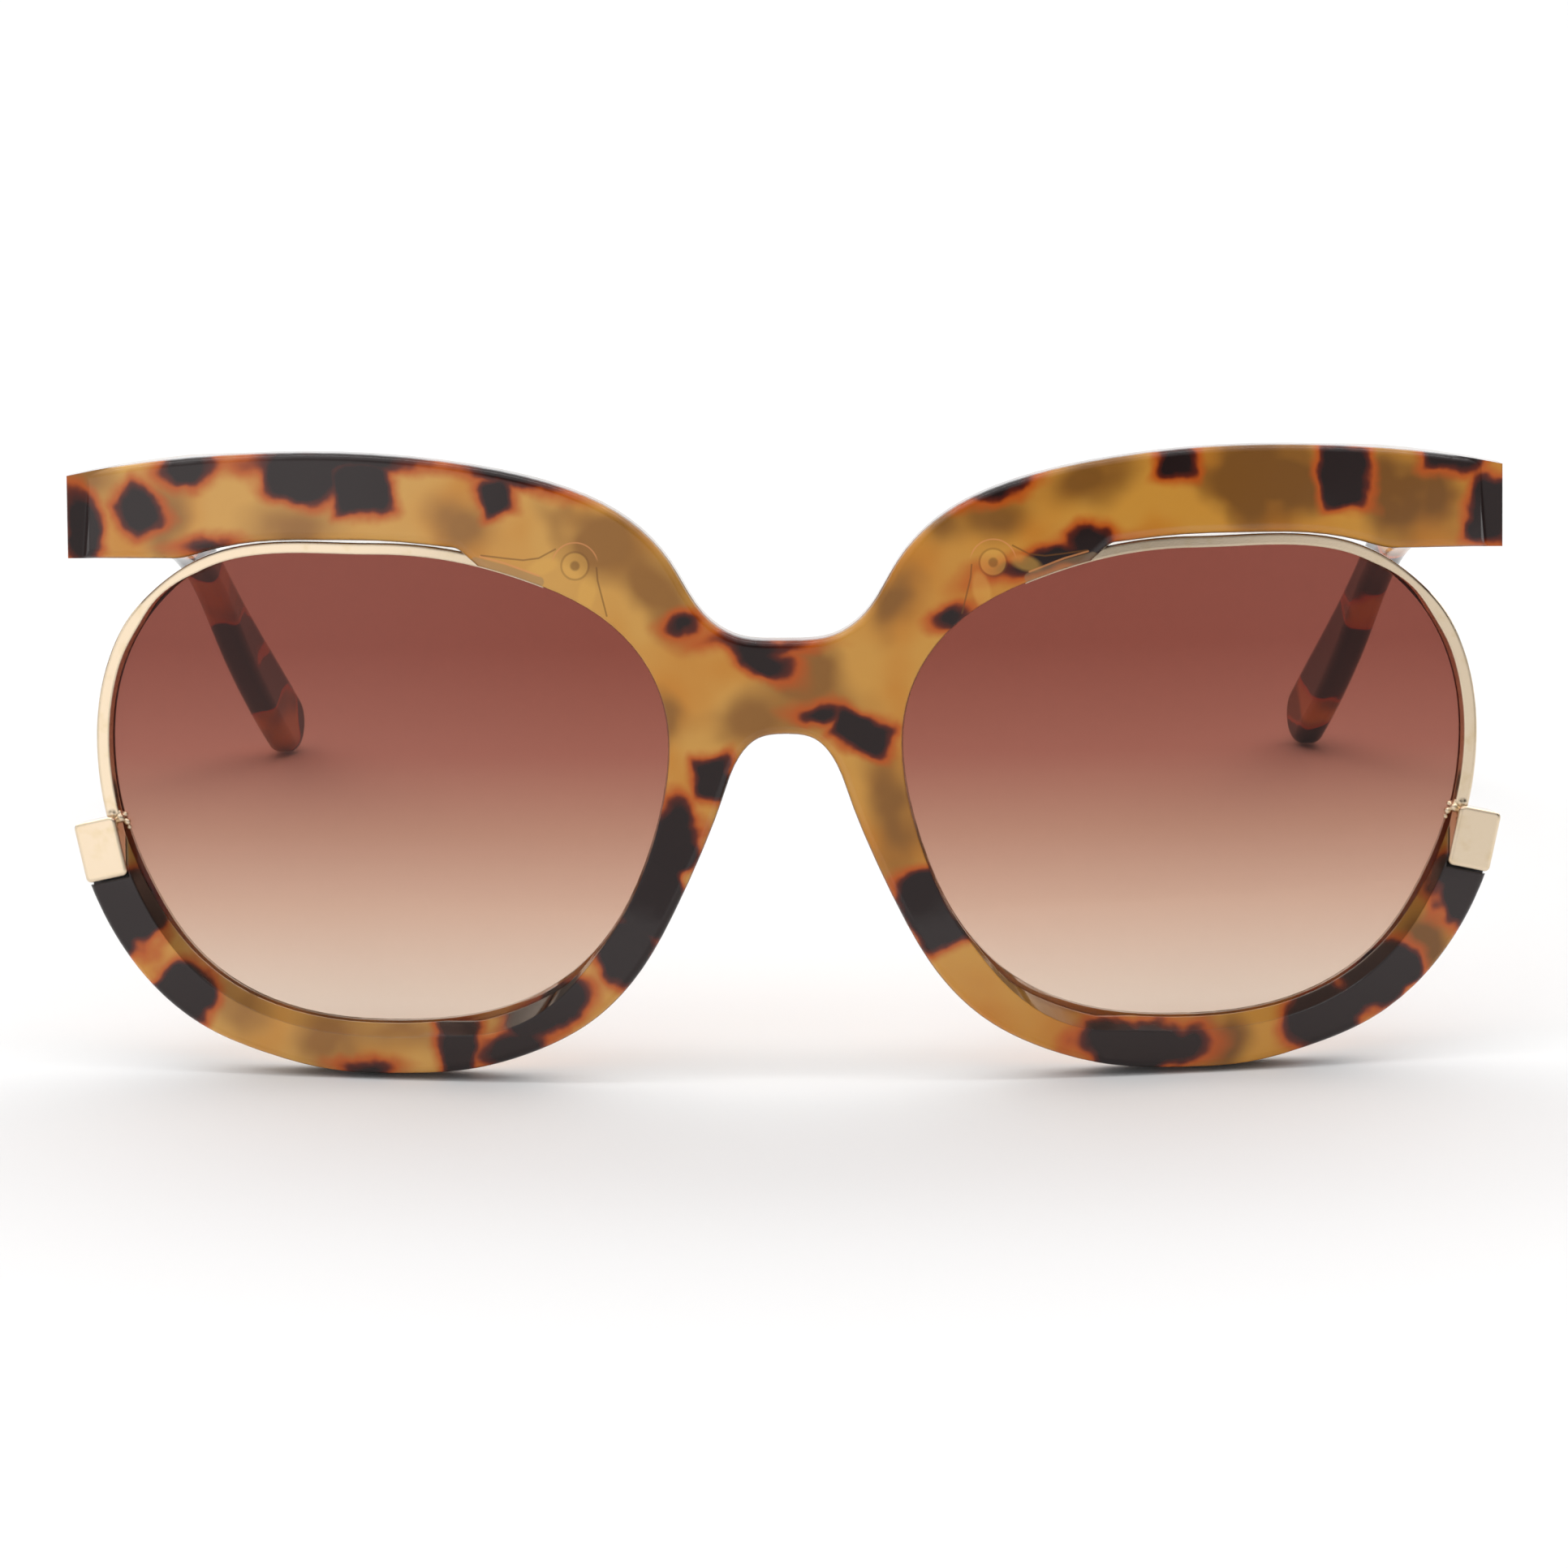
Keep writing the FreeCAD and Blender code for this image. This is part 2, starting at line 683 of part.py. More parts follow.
def temple():
    """Acetate temple cut out for its hinge plate, its rivets and its core."""
    low = Vec(*temple_leaf_low) - Vec(5, fit_gap, fit_gap)
    high = Vec(*temple_leaf_high) + Vec(fit_gap, fit_gap, fit_gap)
    room = [box_between(low, high)]
    for bottom, top in barrel_heights()[1::2]:
        room.append(box_between((inner_x - 1, axis_y - 0.05, bottom - 0.05),
                                (inner_x + leaf_thick + fit_gap, axis_y + 3.1, top + 0.05)))
    room += [temple_rivet(point, screw_gap) for point in temple_rivets]
    return temple_bar().cut(room + [temple_core_bar(fit_gap)])


def nose_pad(frame):
    """Rounded pad bonded to the back of the bridge side."""
    outline = [Vec(0, 0, -pad_high / 2), Vec(0, pad_deep * 0.75, -pad_high * 0.36),
               Vec(0, pad_deep, -pad_high * 0.05), Vec(0, pad_deep * 0.8, pad_high * 0.3),
               Vec(0, 0, pad_high / 2)]
    edge = spline(outline).toShape()
    face = Part.Face(Part.Wire([edge, Part.makeLine(outline[-1], outline[0])]))
    pad = face.extrude(Vec(pad_thick, 0, 0))
    pad.translate(Vec(-pad_thick / 2, 0, 0))
    rounds = [item for item in pad.Edges if item.CenterOfMass.y > 1.0]
    pad = pad.makeFillet(pad_thick * 0.42, [item for item in rounds if item.Length > pad_deep])
    turn = FreeCAD.Rotation(Vec(0, 1, 0), -pad_slope) * FreeCAD.Rotation(Vec(0, 0, 1), -pad_splay)
    y = skin_y(pad_centre[0], pad_centre[1], front_thickness - 1.2)
    pad = placed(pad, FreeCAD.Placement(Vec(pad_centre[0], y, pad_centre[1]), turn))
    return pad.cut(frame)


def stand(shapes):
    """Lean the front back and put the object's middle at X = Y = 0 and its lowest point at Z = 0."""
    turn = FreeCAD.Placement(Vec(0, 0, 0), FreeCAD.Rotation(Vec(1, 0, 0), -lean_back))
    points = []
    for shape in shapes.values():
        points += [turn.multVec(point) for point in shape.tessellate(0.05)[0]]
    front_y = min(point.y for point in points)
    back_y = max(point.y for point in points)
    floor = min(point.z for point in points)
    shift = Vec(0, -(front_y + back_y) / 2, -floor)
    return FreeCAD.Placement(shift, turn.Rotation)


def model():
    """Every piece by node name, drawn in the front's frame."""
    frame = front_frame()
    side = {
        "lens": lens(),
        "rim_wire": rim_wire().cut(rim_screw_hole()),
        "rim_screw": rim_screw(),
        "corner_block": corner_block(),
        "block_screw": block_screw(),
        "nose_pad": nose_pad(frame),
        "hinge_front": hinge_front(),
        "hinge_front_rivets": Part.makeCompound([front_rivet(point) for point in front_rivets]),
        "hinge_temple": hinge_temple(),
        "hinge_temple_rivets": Part.makeCompound([temple_rivet(point) for point in temple_rivets]),
        "hinge_screw": hinge_screw(),
        "temple": temple(),
        "temple_core": temple_core_bar(0.0),
    }
    side["rim_wire"] = side["rim_wire"].cut(side["corner_block"])
    shapes = {"front_frame": frame}
    for name, shape in side.items():
        shapes[name + "_left"] = shape
        shapes[name + "_right"] = mirrored(shape)
    return shapes


def main():
    os.makedirs("parts", exist_ok=True)
    shapes = model()
    place = stand(shapes)
    for name, shape in shapes.items():
        standing = shape.copy()
        standing.Placement = place.multiply(shape.Placement)
        standing.exportStep("parts/" + name + ".step")
        state = "" if shape.isValid() and shape.Volume > 0 else " NOT SOUND"
        print("%-28s %10.2f mm3 %d solid(s)%s" % (name, shape.Volume, len(shape.Solids), state))
    axis = place.multVec(Vec(axis_x, axis_y, temple_z))
    print("hinge axis at", [round(value, 4) for value in axis])
    print("placement shift", [round(value, 4) for value in place.Base])


if __name__ == "__main__":
    main()
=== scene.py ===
import bpy
import bmesh
import math
from mathutils import Euler, Matrix, Vector, noise


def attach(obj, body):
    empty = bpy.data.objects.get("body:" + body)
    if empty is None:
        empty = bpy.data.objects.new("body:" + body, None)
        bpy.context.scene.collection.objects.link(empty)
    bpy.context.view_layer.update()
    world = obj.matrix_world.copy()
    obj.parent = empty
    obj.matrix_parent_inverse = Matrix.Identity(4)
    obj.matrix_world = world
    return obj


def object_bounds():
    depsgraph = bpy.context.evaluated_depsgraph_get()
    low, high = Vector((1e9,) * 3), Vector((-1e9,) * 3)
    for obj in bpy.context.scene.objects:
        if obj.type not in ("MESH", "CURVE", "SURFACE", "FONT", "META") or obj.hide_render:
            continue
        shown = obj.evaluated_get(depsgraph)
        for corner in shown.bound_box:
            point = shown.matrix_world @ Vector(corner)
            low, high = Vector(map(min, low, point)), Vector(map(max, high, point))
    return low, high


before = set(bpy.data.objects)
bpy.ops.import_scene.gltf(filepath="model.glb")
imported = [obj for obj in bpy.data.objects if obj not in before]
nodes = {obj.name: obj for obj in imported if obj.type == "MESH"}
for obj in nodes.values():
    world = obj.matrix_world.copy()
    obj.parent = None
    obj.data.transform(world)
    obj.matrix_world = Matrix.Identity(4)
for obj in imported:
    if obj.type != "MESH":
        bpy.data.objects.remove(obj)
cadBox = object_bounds()
sides = {"left": 1, "right": -1}  # the wearer's left is at +X
mm = 0.001
print("frame loaded with", len(nodes), "nodes")

# the front leans back about X; its own X, Y and Z, in mm, are what the spots and tints are placed in
front = {
    "lean": math.radians(8.0),
    "origin": (0.0, -0.0796567, 0.0012036),
    "radius": 300.0,
    "middleHeight": 31.0,
    "plane": (1, 0, 1),  # keeps X and Z and drops the depth
}
frontMiddle = (0, front["radius"], front["middleHeight"])
frontTurn = Euler((-front["lean"], 0, 0))
frontMatrix = Matrix.Translation(front["origin"]) @ frontTurn.to_matrix().to_4x4() @ Matrix.Scale(mm, 4)


def fromFront(x, z, depth):
    # place on the front, some mm behind its outer skin, in metres
    radius = front["radius"] - depth
    y = front["radius"] - math.sqrt(radius ** 2 - x ** 2 - (z - front["middleHeight"]) ** 2)
    return frontMatrix @ Vector((x, y, z))


def shade(red, green, blue):
    # a colour as it looks on a screen, 0 to 255, turned to the linear values that shaders use
    def linear(value):
        value = value / 255
        return value / 12.92 if value <= 0.04045 else ((value + 0.055) / 1.055) ** 2.4
    return (linear(red), linear(green), linear(blue), 1.0)


class Flow:
    # a socket that can be written in an expression

    def __init__(self, tree, socket=None):
        self.tree = tree
        self.socket = socket

    def node(self, kind, settings=None, values=None, output=0):
        # a new node: its settings first, then the values or links of its sockets
        made = self.tree.nodes.new("ShaderNode" + kind)
        for name, value in (settings or {}).items():
            setattr(made, name, value)
        for name, value in (values or {}).items():
            if isinstance(value, Flow):
                self.tree.links.new(value.socket, made.inputs[name])
            else:
                made.inputs[name].default_value = value
        return Flow(self.tree, made.outputs[output]) if made.outputs else None

    def sum(self, operation, first, second):
        # colours and vectors go through Vector Math, single values through Math
        kinds = [item.socket.type for item in (first, second) if isinstance(item, Flow)]
        if "VECTOR" in kinds or "RGBA" in kinds:
            first, second = [(item,) * 3 if isinstance(item, (int, float)) else item
                             for item in (first, second)]
            return self.node("VectorMath", {"operation": operation}, {0: first, 1: second})
        return self.node("Math", {"operation": operation}, {0: first, 1: second})

    def __add__(self, other):
        return self.sum("ADD", self, other)

    def __radd__(self, other):
        return self.sum("ADD", other, self)

    def __sub__(self, other):
        return self.sum("SUBTRACT", self, other)

    def __rsub__(self, other):
        return self.sum("SUBTRACT", other, self)

    def __mul__(self, other):
        return self.sum("MULTIPLY", self, other)

    def __rmul__(self, other):
        return self.sum("MULTIPLY", other, self)

    def most(self, other, smooth=0.0):
        # the larger of two, rounded off where they cross
        return self.node("Math", {"operation": "SMOOTH_MAX"}, {0: self, 1: other, 2: smooth})

    def least(self, other, smooth=0.0):
        # the smaller of two, in the same way
        return self.node("Math", {"operation": "SMOOTH_MIN"}, {0: self, 1: other, 2: smooth})

    def size(self):
        # length of a vector, or a value without its sign
        if self.socket.type == "VECTOR":
            return self.node("VectorMath", {"operation": "LENGTH"}, {0: self}, "Value")
        return self.node("Math", {"operation": "ABSOLUTE"}, {0: self})

    def folded(self):
        # a place with each of its parts without its sign
        return self.node("VectorMath", {"operation": "ABSOLUTE"}, {0: self})

    def dot(self, other):
        return self.node("VectorMath", {"operation": "DOT_PRODUCT"}, {0: self, 1: other}, "Value")

    def ease(self, low, high):
        # 0 at low, 1 at high, smooth between; low may be above high
        return self.node("MapRange", {"interpolation_type": "SMOOTHSTEP"},
                         {"Value": self, "From Min": low, "From Max": high}, "Result")

    def tint(self, first, second):
        # first colour where this is 0, second where it is 1
        return self.node("Mix", {"data_type": "RGBA"}, {0: self, 6: first, 7: second}, 2)

    def part(self, axis):
        return self.node("SeparateXYZ", {}, {0: self}, axis)

    def placed(self, location=(0, 0, 0), turn=(0, 0, 0), scale=(1, 1, 1)):
        # this place in a frame that has been moved, turned and scaled
        return self.node("Mapping", {"vector_type": "TEXTURE"},
                         {"Vector": self, "Location": location, "Rotation": turn, "Scale": scale})

    def grain(self, scale, detail):
        # cloudy pattern from 0 to 1 over this place
        return self.node("TexNoise", {}, {"Vector": self, "Scale": scale, "Detail": detail})

    def drift(self, scale, amount):
        # this place pushed about by a cloudy pattern
        cloud = self.node("TexNoise", {}, {"Vector": self, "Scale": scale, "Detail": 2.0}, "Color")
        return self + (cloud - 0.5) * amount


def newMaterial(name):
    material = bpy.data.materials.new(name)
    material.use_nodes = True
    material.node_tree.nodes.clear()
    return material, Flow(material.node_tree)


def finishMaterial(flow, shader):
    flow.node("OutputMaterial", {}, {"Surface": shader})


def objectPlace(flow):
    # place in the object's own frame, in mm
    return flow.node("TexCoord", {}, {}, "Object") * (1 / mm)


def frontPlace(flow):
    # place in the front's own frame, in mm
    return flow.node("TexCoord", {}, {}, "Object").placed(front["origin"], tuple(frontTurn), (mm, mm, mm))


def frontDepth(place):
    # how far behind the front's outer skin a place lies
    return front["radius"] - (place - frontMiddle).size()


bevelSamples = 4


def fineNormal(flow, height, strength, depth, rounding):
    # edges that look rounded off, under a very shallow bump; depth and rounding are in mm
    rounded = flow.node("Bevel", {"samples": bevelSamples}, {"Radius": rounding * mm})
    return flow.node("Bump", {}, {"Strength": strength, "Distance": depth * mm, "Height": height,
                                  "Normal": rounded})


# each "band" here and below is where something starts to show and where it shows in full, and each
# "grain" or "drift" is a cloudy pattern's scale and then its detail or its reach in mm
acetate = {
    # the colours run from paler on the wearer's right to deeper on the wearer's left: painted shade, as
    # less light falls on that side
    "amber": [shade(216, 162, 82), shade(206, 144, 52)],
    "deepAmber": [shade(208, 140, 54), shade(198, 124, 34)],
    "olive": [shade(158, 108, 50), shade(124, 78, 24)],
    "orange": shade(190, 84, 18),
    "orangeBand": (1.5, 0.2),
    "rust": shade(98, 30, 10),
    "rustBand": (0.5, 0.0),
    "dark": shade(32, 16, 15),
    "darkBand": (0.25, -0.45),
    "shine": 0.45,
    "polish": 0.06,
    "haze": 0.05,
    "hazeGrain": (0.35, 3.0),
    "hazeBand": (0.45, 0.75),
    "ripple": 0.02,
    "rippleGrain": (0.25, 1.0),
    "rippleDepth": 0.4,
    "rounding": 0.3,
}


def layTortoise(distance, base):
    # orange, then rust, then near black as the distance to a dark spot falls
    warm = distance.ease(*acetate["orangeBand"]).tint(base, acetate["orange"])
    rust = distance.ease(*acetate["rustBand"]).tint(warm, acetate["rust"])
    return distance.ease(*acetate["darkBand"]).tint(rust, acetate["dark"])


def polishAcetate(flow, place, colour):
    # glossy, with faint handling haze and very shallow tumbling ripples
    haze = place.grain(*acetate["hazeGrain"]).ease(*acetate["hazeBand"])
    ripple = place.grain(*acetate["rippleGrain"])
    normal = fineNormal(flow, ripple, acetate["ripple"], acetate["rippleDepth"], acetate["rounding"])
    return flow.node("BsdfPrincipled", {}, {
        "Base Color": colour, "Roughness": acetate["polish"] + haze * acetate["haze"],
        "Specular IOR Level": acetate["shine"], "Normal": normal})


# dark spots of the front, in its own mm: x, z, half width, half height, tilt
darkSpots = [
    (-72.6, 56.0, 1.9, 3.8, 12), (-61.2, 62.6, 3.0, 1.6, 12), (-49.6, 61.6, 4.0, 3.0, -15),
    (-45.5, 63.4, 8.0, 1.3, 0), (-28.5, 61.6, 4.4, 0.8, -13), (-59.5, 54.6, 1.8, 0.5, 5),
    (-10.2, 46.7, 1.4, 0.8, 0), (-2.5, 43.4, 3.1, 1.2, -32), (-3.2, 44.6, 3.4, 0.7, -3),
    (-11.7, 24.2, 2.9, 4.3, -15), (-13.6, 18.2, 3.8, 4.8, 12), (-16.5, 12.8, 3.3, 3.3, 40),
    (-24.8, 7.0, 4.5, 2.4, 22), (-28.2, 3.0, 3.5, 1.9, 12), (-43.5, 0.7, 1.9, 0.7, 0),
    (-68.9, 17.0, 4.2, 5.0, 28), (-62.7, 8.2, 3.6, 3.4, -35),
    (22.1, 60.3, 3.4, 1.0, 22), (31.2, 54.9, 2.3, 1.5, 20), (27.2, 52.8, 4.9, 0.9, 14),
    (17.2, 47.3, 1.4, 0.7, 20), (3.8, 37.3, 1.9, 0.8, 0), (36.0, 2.6, 6.7, 2.8, 2),
    (55.5, 4.8, 4.8, 3.1, 18), (61.5, 8.9, 4.3, 3.4, 40), (69.4, 17.6, 3.8, 4.0, 0),
]

# the same, but cut square
blockSpots = [
    (-66.7, 58.3, 1.8, 2.0, 38), (-43.2, 60.4, 2.8, 2.2, 8), (-29.4, 59.3, 1.5, 1.6, 12),
    (-7.2, 31.0, 1.7, 2.2, 12), (-34.2, 3.0, 1.7, 2.8, 4),
    (57.5, 60.8, 2.3, 3.3, 0), (39.9, 62.4, 1.7, 1.4, 0), (68.9, 62.4, 3.0, 0.9, -10),
    (72.6, 57.0, 1.9, 3.1, -12), (7.8, 35.3, 2.9, 1.5, -22), (14.6, 17.0, 2.3, 4.0, 26),
]

# softer brown clouds in the sheet behind
oliveSpots = [
    (-72.0, 61.0, 2.5, 2.0, 0), (-64.0, 57.6, 1.8, 3.0, 0), (-50.5, 56.8, 3.4, 1.8, 0),
    (-33.0, 56.6, 3.0, 2.2, -20), (-19.0, 56.0, 5.5, 4.2, -35), (-13.0, 50.0, 2.6, 4.5, 35),
    (-12.0, 36.5, 2.8, 2.8, 0), (-3.5, 36.8, 4.2, 2.2, 0), (-47.5, 3.4, 2.8, 2.4, 0),
    (-57.0, 6.8, 1.8, 2.4, 30), (-40.0, 4.6, 3.2, 0.9, 0),
    (49.0, 60.2, 7.0, 4.6, 0), (63.0, 59.2, 3.6, 4.4, 0), (68.0, 58.5, 3.0, 3.0, 0),
    (31.5, 61.0, 3.6, 2.2, 20), (21.5, 57.6, 2.8, 2.0, 10), (16.6, 56.8, 1.7, 1.8, 20),
    (11.5, 48.8, 2.0, 3.2, -20), (1.8, 41.0, 3.4, 3.4, 0), (2.5, 37.0, 3.4, 1.6, 0),
    (11.0, 27.0, 1.8, 6.5, 12), (44.6, 3.2, 2.6, 2.8, 0), (66.0, 12.0, 2.8, 3.0, 40),
]

# how the front's spots waver, how far they run together and how deep they go; lengths are in mm
frontSheet = {
    "wideDrift": (0.15, 3.4),
    "fineDrift": (0.42, 1.2),
    "spotJoin": 0.8,
    "blockJoin": 0.5,
    "blockCorner": 1.2,
    "cloudDrift": (0.12, 5.0),
    "cloudJoin": 2.5,
    "cloudBand": (1.9, -1.3),
    "shadeAcrossBand": (-40.0, 60.0),
    "deepGrain": (0.11, 1.5),
    "deepBand": (0.38, 0.68),
    "fadeBand": (2.6, 4.6),
    "fade": 2.4,
    "pocketBand": (2.4, 1.6),
    # painted shade: where, and by how much, the colour darkens as the surface turns edge on
    "edgeShadeBand": (0.72, 0.3),
    "edge": 0.4,
}


def nearestOf(distances, smooth=0.0):
    # the least of several distances, rounded off where they cross
    nearest = next(distances)
    for distance in distances:
        nearest = nearest.least(distance, smooth)
    return nearest


def spotDistance(flat, spots, smooth):
    # distance in mm to the nearest of several tilted ovals
    def oval(x, z, halfWide, halfHigh, tilt):
        local = flat.placed((x, 0, z), (0, math.radians(-tilt), 0), (halfWide, 1, halfHigh))
        reach = min(halfWide, halfHigh)
        return local.size() * reach - reach
    return nearestOf((oval(*spot) for spot in spots), smooth)


def blockDistance(flat, spots, smooth):
    # the same for tilted rectangles
    def block(x, z, halfWide, halfHigh, tilt):
        past = flat.placed((x, 0, z), (0, math.radians(-tilt), 0)).folded() - (halfWide, 0, halfHigh)
        return past.part("X").most(past.part("Z"), frontSheet["blockCorner"])
    return nearestOf((block(*spot) for spot in spots), smooth)


def pathDistance(flat, path):
    # distance in mm to the nearest stretch of a bent line
    def stretch(start, stop):
        begin = Vector((start[0], 0, start[1]))
        along = Vector((stop[0], 0, stop[1])) - begin
        offset = flat - tuple(begin)
        share = flat.node("Clamp", {}, {"Value": offset.dot(tuple(along / along.length_squared))})
        reached = flat.node("VectorMath", {"operation": "SCALE"}, {0: tuple(along), "Scale": share})
        return (offset - reached).size()
    return nearestOf(stretch(start, stop) for start, stop in zip(path, path[1:]))


# what shows through the lip, on both sides alike: the wire's end and its screw tab in their pocket, with a
# painted highlight on them
pocket = {
    "tab": (21.3, 52.5),
    "tabRadius": 1.4,
    "tabBand": (1.4, 1.2),
    "thin": [(24.6, 52.4, 1.6, 0.75, -18), (20.1, 49.7, 0.9, 1.9, 12)],
    "thinJoin": 0.3,
    "thinBand": (0.25, -0.25),
    "thinShows": 0.38,
    "pale": shade(232, 176, 84),
    "wire": [(31.5, 52.9), (28.5, 52.1), (25.0, 50.9)],
    "wireBand": (0.62, 0.42),
    "wireShows": 0.5,
    "wireShade": shade(150, 122, 90),
    # painted highlight: a copper line along the wire's top and an arc over the tab
    "wireTop": [(31.0, 53.5), (28.5, 52.8), (25.0, 51.5)],
    "paintedGleamBand": (0.14, 0.05),
    "arcRadius": 2.35,
    "arcBand": (0.12, 0.03),
    "arcHeightBand": (52.7, 53.7),
    "paintedGleamShows": 0.6,
    "paintedGleam": shade(226, 150, 92),
    "roof": [(30.9, 53.6), (28.5, 53.3), (26.6, 53.1), (25.0, 53.3), (23.3, 54.2)],
    "foot": [(19.1, 52.3), (19.0, 51.0), (18.1, 47.4)],
    "lineBand": (0.13, 0.04),
    "tabLineBand": (0.16, 0.04),
    "tabLineShows": 0.6,
    "screwBand": (0.62, 0.35),
    "lineShows": 0.6,
    "line": shade(112, 70, 26),
}


def showPocket(flat, near, colour):
    folded = flat.folded()
    reach = (folded - (pocket["tab"][0], 0, pocket["tab"][1])).size()
    thin = spotDistance(folded, pocket["thin"], pocket["thinJoin"]).ease(*pocket["thinBand"])
    thin = thin.most(reach.ease(*pocket["tabBand"]))
    colour = (thin * near * pocket["thinShows"]).tint(colour, pocket["pale"])

    wire = pathDistance(folded, pocket["wire"]).ease(*pocket["wireBand"])
    colour = (wire * near * pocket["wireShows"]).tint(colour, pocket["wireShade"])

    # a painted highlight in copper along the wire's top and over the tab
    paintedGleam = pathDistance(folded, pocket["wireTop"]).ease(*pocket["paintedGleamBand"])
    arc = (reach - pocket["arcRadius"]).size().ease(*pocket["arcBand"])
    above = folded.part("Z").ease(*pocket["arcHeightBand"])
    colour = (paintedGleam.most(arc * above) * near * pocket["paintedGleamShows"]).tint(colour, pocket["paintedGleam"])

    # thin dark outlines of the pocket and the tab, and the screw's head
    line = pathDistance(folded, pocket["roof"]).least(pathDistance(folded, pocket["foot"]))
    line = line.ease(*pocket["lineBand"])
    tabLine = (reach - pocket["tabRadius"]).size().ease(*pocket["tabLineBand"])
    line = line.most(tabLine * pocket["tabLineShows"])
    line = line.most(reach.ease(*pocket["screwBand"]))
    return (line * near * pocket["lineShows"]).tint(colour, pocket["line"])


def frontEdgeShade(flow, place):
    # 1 where the surface turns away from the front's skin; the colour is darkened there as painted shade,
    # for the dark outlines along the edges
    outward = flow.node("VectorMath", {"operation": "NORMALIZE"}, {0: place - frontMiddle})
    normal = flow.node("TexCoord", {}, {}, "Normal").placed(turn=tuple(frontTurn))
    return normal.dot(outward).size().ease(*frontSheet["edgeShadeBand"])


def frontAcetate():
    material, flow = newMaterial("tortoiseFront")
    place = frontPlace(flow)
    depth = frontDepth(place)
    flat = place * front["plane"]
    wavy = flat.drift(*frontSheet["wideDrift"])
    wavy = wavy + (place.drift(*frontSheet["fineDrift"]) - place) * front["plane"]
    spots = spotDistance(wavy, darkSpots, frontSheet["spotJoin"])
    spots = spots.least(blockDistance(wavy, blockSpots, frontSheet["blockJoin"]), frontSheet["blockJoin"])
    clouds = spotDistance(flat.drift(*frontSheet["cloudDrift"]), oliveSpots, frontSheet["cloudJoin"])
    # painted shade: the front's colours deepen towards the wearer's left
    across = flat.part("X").ease(*frontSheet["shadeAcrossBand"])
    amber, deep, olive = [across.tint(*acetate[name]) for name in ("amber", "deepAmber", "olive")]
    base = flat.grain(*frontSheet["deepGrain"]).ease(*frontSheet["deepBand"]).tint(amber, deep)
    base = clouds.ease(*frontSheet["cloudBand"]).tint(base, olive)

    # spots lie in the front sheet and fade towards the back
    spots = spots + depth.ease(*frontSheet["fadeBand"]) * frontSheet["fade"]
    colour = layTortoise(spots, base)

    colour = showPocket(flat, depth.ease(*frontSheet["pocketBand"]), colour)
    # painted shade along the edges that turn away from the skin
    colour = frontEdgeShade(flow, place).tint(colour, colour * frontSheet["edge"])
    finishMaterial(flow, polishAcetate(flow, place, colour))
    return material


# the temples' spots are where a stretched cloudy pattern rises above a level
templeSheet = {
    "drift": (0.12, 3.0),
    "stretch": (1.0, 0.55, 1.0),
    "spotGrain": (0.11, 1.5),
    "spotLevel": 0.48,
    "spotReach": 24,
    "deepGrain": (0.07, 2.0),
    "deepBand": (0.38, 0.62),
    "oliveGrain": (0.11, 1.0),
    "oliveBand": (0.42, 0.6),
}


def templeAcetate():
    material, flow = newMaterial("tortoiseTemple")
    place = objectPlace(flow)
    stretched = place.drift(*templeSheet["drift"]) * templeSheet["stretch"]
    spots = templeSheet["spotLevel"] - stretched.grain(*templeSheet["spotGrain"])
    spots = spots * templeSheet["spotReach"]
    # the temples take the deeper end of each colour pair, the front's shaded side, and many dark spots:
    # partly the tortoise pattern, partly painted shade for the shade they lie in
    amber, deep, olive = [acetate[name][1] for name in ("amber", "deepAmber", "olive")]
    base = place.grain(*templeSheet["deepGrain"]).ease(*templeSheet["deepBand"]).tint(amber, deep)
    base = place.grain(*templeSheet["oliveGrain"]).ease(*templeSheet["oliveBand"]).tint(base, olive)
    finishMaterial(flow, polishAcetate(flow, place, layTortoise(spots, base)))
    return material


honey = {
    "pale": shade(224, 174, 96),
    "deep": shade(206, 146, 66),
    "grain": (0.3, 2.0),
    "band": (0.3, 0.7),
}


def honeyAcetate():
    material, flow = newMaterial("honeyPads")
    place = objectPlace(flow)
    colour = place.grain(*honey["grain"]).ease(*honey["band"]).tint(honey["pale"], honey["deep"])
    finishMaterial(flow, polishAcetate(flow, place, colour))
    return material


lensTint = {
    # height up the front and the colour that white turns to there
    "stops": [(44.0, shade(132, 70, 58)), (33.0, shade(152, 93, 79)), (25.0, shade(177, 130, 110)),
              (17.0, shade(203, 167, 146)), (7.0, shade(226, 207, 190))],
    "ior": 1.5,
    "gloss": 0.02,
    "mirror": 0.45,  # share of a bare lens's reflection that its coating leaves
}


def gradientLens():
    material, flow = newMaterial("gradientLens")
    height = frontPlace(flow).part("Z")
    stops = lensTint["stops"]

    # a ray crosses two faces, so each face holds the square root of the tint
    def clear(colour):
        face = tuple(math.sqrt(value) for value in colour[:3]) + (1,)
        return flow.node("BsdfTransparent", {}, {"Color": face})
    shader = clear(stops[0][1])
    for (above, _), (below, colour) in zip(stops, stops[1:]):
        share = height.node("MapRange", {}, {"Value": height, "From Min": above, "From Max": below},
                            "Result")
        shader = flow.node("MixShader", {}, {0: share, 1: shader, 2: clear(colour)})
    gloss = flow.node("BsdfGlossy", {}, {"Roughness": lensTint["gloss"]})
    fresnel = flow.node("Fresnel", {}, {"IOR": lensTint["ior"]})
    mirror = fresnel * lensTint["mirror"]
    finishMaterial(flow, flow.node("MixShader", {}, {0: mirror, 1: shader, 2: gloss}))
    return material


gold = shade(226, 206, 179)
wornGold = shade(220, 198, 164)
hingeSteel = shade(200, 190, 170)
coreSteel = shade(150, 146, 140)

